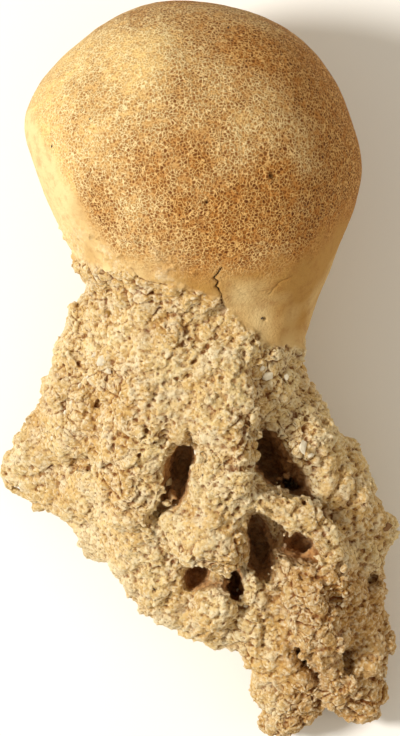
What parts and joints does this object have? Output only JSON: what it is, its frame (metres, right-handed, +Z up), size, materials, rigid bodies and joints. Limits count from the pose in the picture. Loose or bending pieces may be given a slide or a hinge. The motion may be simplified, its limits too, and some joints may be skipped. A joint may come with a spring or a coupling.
{
  "type": "dried earthball",
  "caption": "Dried earthball fungus lying on its back: a smooth egg-shaped head on a crumbly base of fused root-like strands with deep hollows.",
  "frame": {"origin": "on the surface that it lies on, in the middle of its footprint", "axes": "+Z up from the surface, +Y from the rooting base to the crown of the head, +X to the right of somebody who looks down on it"},
  "size_m": [0.0612, 0.1114, 0.046],
  "materials": {
    "fungus_felt": "matte dry felt: fine red-brown scales on a cream net over the head, and sandy cream-ochre crumbs over the base"
  },
  "bodies": {
    "root": {"earthball": "fungus_felt"}
  },
  "joints": []
}
